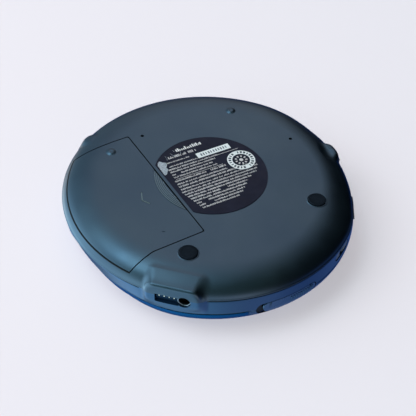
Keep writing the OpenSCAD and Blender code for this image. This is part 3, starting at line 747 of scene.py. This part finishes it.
def lathe(name, profile, cx, cy, n, mat, a0=0.0, matrix=None):
    """A closed solid turned about a vertical axis from (radius, z) points in mm."""
    bm = bmesh.new()
    rings = []
    for r, z in profile:
        if r < 1e-6:
            rings.append([bm.verts.new((cx * MM, cy * MM, z * MM))])
        else:
            rings.append([bm.verts.new(((cx + r * math.cos(a0 + 2 * math.pi * j / n)) * MM,
                                        (cy + r * math.sin(a0 + 2 * math.pi * j / n)) * MM, z * MM)) for j in range(n)])
    closed = len(rings[0]) > 1
    pairs = list(zip(rings, rings[1:])) + ([(rings[-1], rings[0])] if closed else [])
    for a, b in pairs:
        for j in range(n):
            k = (j + 1) % n
            if len(a) == 1 and len(b) == 1:
                continue
            if len(a) == 1:
                bm.faces.new((a[0], b[j], b[k]))
            elif len(b) == 1:
                bm.faces.new((a[j], a[k], b[0]))
            else:
                bm.faces.new((a[j], a[k], b[k], b[j]))
    ob = bm_object(name, bm, mat)
    if matrix is not None:
        ob.data.transform(matrix)
    for p in ob.data.polygons:
        p.use_smooth = True
    ob.data.set_sharp_from_angle(angle=math.radians(35))
    return ob


# cabinet: the same solid with its outer skin taken off, since the side band above covers it
src = N["cabinet"]
me = src.data.copy()
me.transform(src.matrix_world)
cab = bpy.data.objects.new("cabinet_shell", me)
sc.collection.objects.link(cab)
bm = bmesh.new()
bm.from_mesh(me)
bmesh.ops.remove_doubles(bm, verts=bm.verts[:], dist=2e-6)
bm.to_mesh(me)
bm.free()
c = lathe("c", [(68.9, 7.0), (77, 7.0), (77, RIM - 0.07), (68.9, RIM - 0.07)], 0, 0, 240, None)
boolean(cab, c)
drop(c)
c = prism("c", [(-16.5, 6.5), (14.5, 6.5), (14.5, 13.2), (-16.5, 13.2)], 65.0, 78, podm)
boolean(cab, c)
drop(c)
follow(cab)
for p in cab.data.polygons:
    p.use_smooth = True
cab.data.set_sharp_from_angle(angle=math.radians(30))
cab.data.materials.clear()
cab.data.materials.append(M["band"].m)
cab.data.materials.append(M["dark_gap"].m)
# painted shade: black on the walls inside the slider's slot
for p in cab.data.polygons:
    c, n = p.center / MM, p.normal
    r = math.hypot(c.x, c.y)
    if c.y < -50 and -16.5 < c.x < 18.5 and 13.3 < c.z < 20.8 and r < 69.7 and (n.x * c.x + n.y * c.y) / max(r, 1) < 0.5 and n.z < 0.6:
        p.material_index = 1
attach(cab, "base")
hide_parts("cabinet")


def follow_copy(node, body, mat, angle=30, r0=62.0, width=5.0):
    """A copy of one CAD node whose outer skin follows the lower shell's inset."""
    me = N[node].data.copy()
    me.transform(N[node].matrix_world)
    ob = bpy.data.objects.new(node + "_skin", me)
    sc.collection.objects.link(ob)
    bm = bmesh.new()
    bm.from_mesh(me)
    bmesh.ops.remove_doubles(bm, verts=bm.verts[:], dist=2e-6)
    bm.to_mesh(me)
    bm.free()
    follow(ob, r0, width)
    for p in me.polygons:
        p.use_smooth = True
    me.set_sharp_from_angle(angle=math.radians(angle))
    me.materials.clear()
    me.materials.append(mat)
    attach(ob, body)
    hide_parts(node)
    return ob


follow_copy("lid_shell", "lid", M["lid"].m, 30, 60.0, 8.0)
knob = follow_copy("open_slider", "slider", M["slider"].m)
arc = [(60.5 + 8.97 * math.cos(a), 18.2 + 6.17 * math.sin(a)) for a in np.radians(np.linspace(0, 80, 12))]
c = lathe("c", [(0, 5), (69.47, 5)] + arc + [(40, 25), (0, 25)], 0, 0, 360, None)
boolean(knob, c, "INTERSECT")
drop(c)
knob.data.set_sharp_from_angle(angle=math.radians(30))
coil = follow_copy("slider_spring", "base", M["spring"].m)
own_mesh(coil)
follow_copy("volume_rocker", "volume", M["trim"].m)
follow_copy("hold_switch", "hold", M["trim"].m)

# ---------------------------------------------------------------- small moulded details
DETAILS = []


def detail(ob, body):
    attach(ob, body)
    DETAILS.append(ob)
    return ob


pip = [(0, 1.3), (2.6, 1.3), (2.6, 0.80), (2.3, 0.72), (1.9, 0.56), (1.5, 0.40), (1.1, 0.30), (0.8, 0.28), (0.5, 0.36), (0, 0.42)]
detail(lathe("case_pip", pip, -35.1, 38.6, 40, M["shell"].m), "base")
detail(lathe("door_pip", pip, 32.7, 38.8, 40, M["shell"].m), "door")
for i, (x, y) in enumerate(((32.9, -36.9), (-35.2, -37.1))):
    detail(lathe("foot_lip_%d" % i, [(4.35, 1.2), (4.35, 0.74), (4.48, 0.64), (4.66, 0.64), (4.85, 0.84), (4.85, 1.2)], x, y, 72, M["shell"].m), "base")


# thin ring round each foot's edge in the lighter rubber: painted highlight
for i, (x, y) in enumerate(((32.9, -36.9), (-35.2, -37.1))):
    detail(lathe("foot_ring_%d" % i, [(3.15, 0.10), (3.15, -0.0), (3.3, -0.0), (3.4, 0.06), (3.4, 0.3), (3.15, 0.3)], x, y, 64, M["rubber_lip"].m), "base")


def bars(name, items, mat, body, z0, z1, matrix=None):
    """Many small closed prisms in one mesh; each item is a list of (x, y) corners."""
    bm = bmesh.new()
    for q in items:
        lo = [bm.verts.new((x * MM, y * MM, z0 * MM)) for x, y in q]
        hi = [bm.verts.new((x * MM, y * MM, z1 * MM)) for x, y in q]
        bm.faces.new(lo[::-1])
        bm.faces.new(hi)
        for j in range(len(q)):
            k = (j + 1) % len(q)
            bm.faces.new((lo[j], lo[k], hi[k], hi[j]))
    ob = bm_object(name, bm, mat)
    if matrix is not None:
        ob.data.transform(matrix)
    return detail(ob, body)


# fine ribs in the door's finger grip, curved like its outer edge, in a lighter paint than the shell: painted highlight
# on the ridges
ribs = []
for i in range(6):
    rr = 26.5 - i * 0.85
    lim = math.degrees(math.acos((20.75 - LX) / rr))
    if lim < 3:
        continue
    ang = np.radians(np.linspace(-lim, lim, 2 + int(lim / 3)))
    for a0_, a1_ in zip(ang, ang[1:]):
        ribs.append([(LX + (rr + e) * math.cos(q), LY + (rr + e) * math.sin(q)) for e, q in ((-0.2, a0_), (0.2, a0_), (0.2, a1_), (-0.2, a1_))])
bars("grip_ribs", ribs, M["rib"].m, "door", 0.86, 1.25)

arms = []
for ang, ln in ARROW:
    a = math.radians(ang)
    d, nn = (math.cos(a), math.sin(a)), (-math.sin(a), math.cos(a))
    arms.append([(APEX[0] + d[0] * u + nn[0] * v, APEX[1] + d[1] * u + nn[1] * v) for u, v in ((-0.1, -0.2), (ln - 0.2, -0.2), (ln - 0.2, 0.2), (-0.1, 0.2))])
bars("arrow_mark", arms, M["mark"].m, "door", 0.74, 1.2)

# moulded crescent beside the door
cr = [(22.6 + 2.0 * math.cos(a), 48.6 + 1.5 * math.sin(a)) for a in np.radians(np.arange(20, 161, 14))]
cr += [(22.6 + 1.5 * math.cos(a), 48.6 + 0.9 * math.sin(a)) for a in np.radians(np.arange(160, 19, -14))]
# the crescent is drawn in black: painted shade in its hollow
bars("latch_mark", [cr], M["dark_gap"].m, "base", 0.9, 1.35)

# metal lip of the power jack, blue lower plate and contact tips in the terminal recess
jl = lathe("jack_lip", [(2.45, 0), (2.45, 1.2), (2.6, 1.35), (2.95, 1.35), (2.95, 0)], 0, 0, 64, M["nickel_dark"].m)
jl.data.transform(Matrix.Translation(Vector((-6.5, 9.2, 67.9)) * MM))
jl.data.transform(podm)
detail(jl, "base")
bars("terminal_plate", [rounded_rect(-3.5, 9.75, 6.1, 11.8, 0.2, 3)], M["band"].m, "base", 66.0, 68.4, podm)
tips = [[(-2.45 + i * 2.2, 7.9), (-1.65 + i * 2.2, 7.9), (-1.85 + i * 2.2, 9.3), (-2.25 + i * 2.2, 9.3)] for i in range(4)]
bars("terminal_tips", tips, M["tip"].m, "base", 67.2, 69.0, podm)

# grey face plate inside the headphone recess, with a dark groove round it
pl = prism("phones_plate", stad(-6.3, 6.3, 9.8, 14.2), 67.0, 69.1, rim_matrix(-119.5), M["plate_grey"].m)
hole = prism("t", circle(0, 12.0, 2.45, 48), 60, 75, rim_matrix(-119.5))
boolean(pl, hole)
drop(hole)
detail(pl, "base")

# black sheet behind the slider's slot, painted shade in the slot, clear of the slider's stem over its whole travel
detail(prism("slot_shade_sheet", [(-14.4, 16.95), (13.5, 16.95), (13.5, 13.8), (16.4, 13.8), (16.4, 19.8), (-14.4, 19.8)], 66.82, 67.1, rim_matrix(-90.0), M["dark_gap"].m), "base")

# ridges on the slider's knob
rows = []
for i in range(10):
    x = -12.2 + i * 1.3
    y = -math.sqrt(69.45 ** 2 - x * x)
    rows.append([(x - 0.26, y + 0.5), (x - 0.26, y - 0.28), (x + 0.26, y - 0.28), (x + 0.26, y + 0.5)])
bars("slider_ribs", rows, M["slider"].m, "slider", 15.4, 18.3)

# ---------------------------------------------------------------- printed label
LA = math.radians(-177.5)
LU = (math.cos(LA), math.sin(LA))
LV = (LU[1], -LU[0])
Z_INK = 0.65


def luv(u, v):
    return (LX + LU[0] * u + LV[0] * v, LY + LU[1] * u + LV[1] * v)


def on_label(u, v, g=1.0):
    x, y = luv(u, v)
    return math.hypot(x - LX, y - LY) < 27 - g and x < 18.6 - g


def lrect(u0, v0, u1, v1):
    return [luv(u0, v0), luv(u1, v0), luv(u1, v1), luv(u0, v1)]


rng = np.random.default_rng(11)
ink, ink2 = [], []


def text_row(v, u0, u1, h, gap=0.35, lo=0.7, hi=2.4, skip=0.06, store=None):
    """A row of unreadable strokes: short upright ticks joined into word-long runs."""
    u = u0
    while u < u1:
        wd = rng.uniform(lo, hi)
        if rng.random() > skip:
            k = u
            while k < min(u + wd, u1):
                tw = rng.uniform(0.18, 0.34) * (h / 0.9)
                th = h * rng.choice([1.0, 1.0, 0.8, 0.55])
                if on_label(k, v) and on_label(k + tw, v + h):
                    (store if store is not None else ink).append(lrect(k, v, k + tw, v + th))
                k += tw + rng.uniform(0.10, 0.2) * (h / 0.9)
        u += wd + gap + rng.uniform(0, 0.3)


text_row(21.2, -7.5, 6.0, 2.2, 0.2, 6, 9, 0, ink2)
text_row(17.9, -13.2, 1.5, 1.6, 0.7, 2, 4, 0)
text_row(15.2, -15.5, -3.0, 0.8)
text_row(12.4, -15.5, -0.6, 0.8)
for i, v in enumerate((10.4, 8.6, 6.6, 4.7)):
    text_row(v, -16.8, 9.4 - (i % 3) * 2.3, 0.95, 0.4, 1.4, 4.2)
ink.append(lrect(1.2, 10.5, 20.6, 10.72))
ink.append(lrect(-16.5, 3.55, 8.6, 3.75))
for i, v in enumerate((1.9, -0.2, -2.2, -4.2)):
    text_row(v, -17.6, 9.0 if v > -1 else 23.5, 0.95 if i % 2 else 1.1, 0.4, 1.2, 4.0)
for i in range(8):
    v = -6.1 - i * 1.85
    text_row(v, -18.0 + 0.55 * i, 22.5 - i * 2.2 - rng.uniform(0, 2.5), 0.95, 0.35, 1.4, 4.6, 0.03)
bars("label_print", ink, M["print"].m, "base", Z_INK - 0.02, Z_INK + 0.05)
bars("label_title", ink2, M["print_bright"].m, "base", Z_INK - 0.02, Z_INK + 0.05)
bars("label_sticker", [lrect(0.0, 12.3, 17.8, 16.0)], M["paper"].m, "base", Z_INK - 0.05, Z_INK + 0.05)
tick = [lrect(2.0 + 1.35 * i, 13.3, 2.0 + 1.35 * i + rng.uniform(0.5, 0.8), 15.0) for i in range(11)]
bars("sticker_ticks", tick, M["ink_grey"].m, "base", Z_INK - 0.07, Z_INK)

# round badge: a white ring with dark blocks round it and a plain disc with a dot inside
bc = luv(17.9, 2.4)
detail(lathe("badge_ring", [(4.3, Z_INK + 0.05), (4.3, Z_INK - 0.03), (6.8, Z_INK - 0.03), (6.8, Z_INK + 0.05)], *bc, 72, M["paper"].m), "base")
blk = []
for i in range(22):
    a = 2 * math.pi * i / 22 + 0.1
    if i in (5, 16):
        continue
    w2, r0, r1 = 0.085 if i % 3 else 0.05, 4.9, 6.2
    blk.append([(bc[0] + r * math.cos(a + q), bc[1] + r * math.sin(a + q)) for r, q in ((r0, -w2), (r1, -w2), (r1, w2), (r0, w2))])
bars("badge_blocks", blk, M["ink_dark"].m, "base", Z_INK - 0.045, Z_INK)
blk = []
for i in range(9):
    a = 2 * math.pi * i / 9
    blk.append([(bc[0] + r * math.cos(a + q), bc[1] + r * math.sin(a + q)) for r, q in ((2.0, -0.12), (3.1, -0.16), (3.1, 0.16), (2.0, 0.12))])
blk.append([(bc[0] + 1.0 * math.cos(a), bc[1] + 1.0 * math.sin(a)) for a in np.radians(np.arange(0, 360, 20))])
bars("badge_core", blk, M["print"].m, "base", Z_INK - 0.02, Z_INK + 0.05)

# scuffed silver patch and scratches where the label has worn beside the door
silver = [(-20.1, 16.0), (-19.2, 17.9), (-18.0, 18.6), (-17.0, 17.2), (-15.6, 16.4), (-15.9, 14.6), (-17.0, 13.2), (-16.6, 11.6),
          (-17.8, 10.2), (-18.6, 9.0), (-19.6, 8.4), (-20.05, 8.8)]
bars("label_wear", [[luv(*q) for q in silver]], M["foil"].m, "base", Z_INK - 0.04, Z_INK + 0.05)
scr = []
for i in range(16):
    u, v, a, ln = rng.uniform(-16, -6), rng.uniform(17.5, 24.5), rng.uniform(0.6, 2.2), rng.uniform(0.5, 2.2)
    if not (on_label(u, v, 2.5)):
        continue
    c_, s_ = math.cos(a), math.sin(a)
    scr.append([luv(u + c_ * p - s_ * q, v + s_ * p + c_ * q) for p, q in ((0, -0.09), (ln, -0.04), (ln, 0.04), (0, 0.09))])
bars("label_scratches", scr, M["foil"].m, "base", Z_INK - 0.03, Z_INK + 0.05)

# ---------------------------------------------------------------- CAD nodes keep their shape
USE = {"rubber_feet": "rubber", "rating_label": "label", "battery_bay": "black",
       "battery_springs": "spring", "battery_contacts": "nickel", "dc_jack_body": "black", "dc_jack_pin": "nickel",
       "terminal_block": "black", "terminal_contacts": "gold", "phones_jack_body": "black", "phones_jack_ring": "nickel",
       "main_board": "board", "board_chips": "chip", "case_screws": "nickel", "deck_plate": "deck",
       "rubber_dampers": "rubber", "deck_screws": "nickel", "spindle_motor": "nickel", "guide_rods": "nickel",
       "sled_motor": "nickel", "display_window": "window", "lcd_panel": "lcd", "key_board": "board",
       "slider_spring": "spring", "lid_plate": "lid_plate", "lid_liner": "liner",
       "hinge_pins": "nickel", "turntable": "turntable", "chuck_balls": "nickel",
       "pickup_body": "pickup", "objective_lens": "lens", "lead_screw": "nickel", "key_play": "nickel",
       "key_stop": "nickel", "key_back": "nickel", "key_forward": "nickel", "key_mode": "nickel"}
for node, key in USE.items():
    ob = N[node]
    if not ob.material_slots:
        ob.data.materials.append(M[key].m)
    for s in ob.material_slots:
        s.material = M[key].m


# ---------------------------------------------------------------- stage and light
def floor(name, z, up, rides=None):
    """A pale floor that is seen from one side only, so that it never hides the object from the other."""
    s = 4.0
    me = bpy.data.meshes.new(name)
    vs = [(-s, -s, z), (s, -s, z), (s, s, z), (-s, s, z)]
    me.from_pydata(vs, [], [(0, 1, 2, 3)] if up else [(3, 2, 1, 0)])
    ob = bpy.data.objects.new(name, me)
    sc.collection.objects.link(ob)
    m = Mat(name)
    m.set(rough=0.9, spec=0.1)
    m.color((0.90, 0.726, 0.735))
    g = m.new("ShaderNodeNewGeometry")
    tr = m.new("ShaderNodeBsdfTransparent")
    mx = m.new("ShaderNodeMixShader")
    x, y, _ = m.xyz()
    r = m.math("SQRT", m.math("ADD", m.math("MULTIPLY", x, x), m.math("MULTIPLY", y, y)))
    fade = m.range(r, 0.28, 0.75, 0.36, 1)
    lift = m.new("ShaderNodeEmission")
    lift.inputs[0].default_value = (*FLOOR_LIFT, 1)
    both = m.new("ShaderNodeAddShader")
    m.link(m.b.outputs[0], both.inputs[0])
    m.link(lift.outputs[0], both.inputs[1])
    m.link(m.math("MAXIMUM", fade, g.outputs["Backfacing"]), mx.inputs[0])
    m.link(both.outputs[0], mx.inputs[1])
    m.link(tr.outputs[0], mx.inputs[2])
    m.link(mx.outputs[0], m.nt.nodes["Material Output"].inputs["Surface"])
    me.materials.append(m.m)
    ob.visible_shadow = ob.visible_diffuse = ob.visible_glossy = ob.visible_transmission = False
    if rides:
        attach(ob, rides)
    return ob


FLOOR_LIFT = (0.208, 0.180, 0.192)
LID_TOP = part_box("lid_plate")[1].z
floor("table_top", LID_TOP + 0.0001, False, "lid")
floor("table_low", -0.0001, True)

w = bpy.data.worlds.new("studio")
sc.world = w
w.use_nodes = True
nt = w.node_tree
for n in list(nt.nodes):
    nt.nodes.remove(n)
out = nt.nodes.new("ShaderNodeOutputWorld")
bg_c = nt.nodes.new("ShaderNodeBackground")
bg_c.inputs[0].default_value = (0.855, 0.855, 0.921, 1)
bg_l = nt.nodes.new("ShaderNodeBackground")
tcw = nt.nodes.new("ShaderNodeTexCoord")


def lobe(direction, lo, hi, v0, v1):
    """A smooth 0..1 style patch of the sky round one direction."""
    v = Vector(direction).normalized()
    d = nt.nodes.new("ShaderNodeVectorMath")
    d.operation = "DOT_PRODUCT"
    d.inputs[1].default_value = v
    nt.links.new(tcw.outputs["Generated"], d.inputs[0])
    r = nt.nodes.new("ShaderNodeMapRange")
    r.interpolation_type = "SMOOTHSTEP"
    r.inputs["From Min"].default_value, r.inputs["From Max"].default_value = lo, hi
    r.inputs["To Min"].default_value, r.inputs["To Max"].default_value = v0, v1
    nt.links.new(d.outputs["Value"], r.inputs["Value"])
    return r.outputs["Result"]


def times(a, b, op="MULTIPLY"):
    m = nt.nodes.new("ShaderNodeMix")
    m.data_type, m.blend_type = "RGBA", op
    m.inputs["Factor"].default_value = 1.0
    for sock, v in ((m.inputs[6], a), (m.inputs[7], b)):
        if isinstance(v, tuple):
            sock.default_value = (*v, 1)
        else:
            nt.links.new(v, sock)
    return m.outputs[2]


axis = lobe((0.93, 0.34, 0.10), -1.0, 1.0, 0.0, 1.0).node
axis.interpolation_type = "LINEAR"
sky = nt.nodes.new("ShaderNodeValToRGB")
STOPS = ((0.0, 0.0, (1, 1, 1)), (0.22, 0.0, (1, 1, 1)), (0.30, 0.58, (0.90, 0.96, 1.0)), (0.36, 1.04, (0.95, 0.95, 1.0)),
         (0.46, 0.95, (0.90, 0.92, 1.0)), (0.58, 0.92, (0.66, 0.88, 1.0)), (0.75, 1.3, (0.58, 0.87, 1.0)), (0.88, 2.0, (0.62, 0.88, 1.0)), (1.0, 2.3, (0.62, 0.88, 1.0)))
while len(sky.color_ramp.elements) < len(STOPS):
    sky.color_ramp.elements.new(0.5)
for el, (pos, v, tint) in zip(sky.color_ramp.elements, STOPS):
    el.position = pos
    el.color = (v * tint[0], v * tint[1], v * tint[2], 1)
nt.links.new(axis.outputs["Result"], sky.inputs["Fac"])
low = nt.nodes.new("ShaderNodeMix")
low.data_type = "RGBA"
low.inputs[6].default_value, low.inputs[7].default_value = (1, 1, 1, 1), (0.13, 0.20, 0.15, 1)
nt.links.new(lobe((0.10, -0.35, -0.93), 0.46, 0.96, 0.0, 1.0), low.inputs["Factor"])
col = times(sky.outputs["Color"], low.outputs[2])
col = times(col, lobe((-0.60, 0.50, 0.62), 0.45, 0.85, 1.0, 0.02))
col = times(col, lobe((0.20, -0.30, 0.93), 0.35, 0.80, 1.0, 0.28))
col = times(col, times((0.22, 0.42, 1.0), lobe((-0.50, -0.50, 0.70), 0.55, 0.95, 0.0, 0.45)), "ADD")
col = times(col, lobe((0.05, 0.97, -0.15), 0.62, 0.95, 1.0, 0.5))
for rgb, way, lo in (((0.48, 0.74, 0.92), (0.60, -0.22, 0.77), 0.72), ((2.5, 4.0, 4.6), (0.18, 0.33, -0.925), 0.962),
                     ((0.6, 0.9, 1.05), (0.58, 0.73, -0.37), 0.90), ((0.9, 0.68, 0.55), (0.27, 0.94, 0.21), 0.93), ((0.4, 0.55, 0.75), (0.58, 0.35, 0.75), 0.90),
                     ((0.75, 1.20, 1.40), (0.58, 0.74, 0.32), 0.86)):
    col = times(col, times(rgb, lobe(way, lo, 0.998 if lo > 0.95 else 0.985, 0.0, 1.0)), "ADD")
col = times(col, times((0.02, 0.09, 0.42), lobe((-0.45, 0.60, 0.70), 0.7, 0.97, 0.0, 0.7)), "ADD")
nt.links.new(col, bg_l.inputs[0])
bg_l.inputs[1].default_value = 1.0
lp = nt.nodes.new("ShaderNodeLightPath")
mxw = nt.nodes.new("ShaderNodeMixShader")
nt.links.new(lp.outputs["Is Camera Ray"], mxw.inputs[0])
nt.links.new(bg_l.outputs[0], mxw.inputs[1])
nt.links.new(bg_c.outputs[0], mxw.inputs[2])
nt.links.new(mxw.outputs[0], out.inputs[0])


def area(name, loc, size, watts, col=(1, 1, 1), aim=(0, 0, 0.012)):
    li = bpy.data.lights.new(name, "AREA")
    li.energy, li.size, li.color = watts, size, col
    ob = bpy.data.objects.new(name, li)
    sc.collection.objects.link(ob)
    ob.location = loc
    ob.rotation_mode = "QUATERNION"
    ob.rotation_quaternion = (Vector(aim) - Vector(loc)).to_track_quat("-Z", "Y")
    return ob


area("soft_below", (0.55, 0.35, -0.75), 0.7, 4.0, (0.93, 0.97, 1.0)).visible_glossy = False
area("soft_above", (0.45, 0.10, 0.95), 0.7, 4.0, (0.97, 0.98, 1.0)).visible_glossy = False
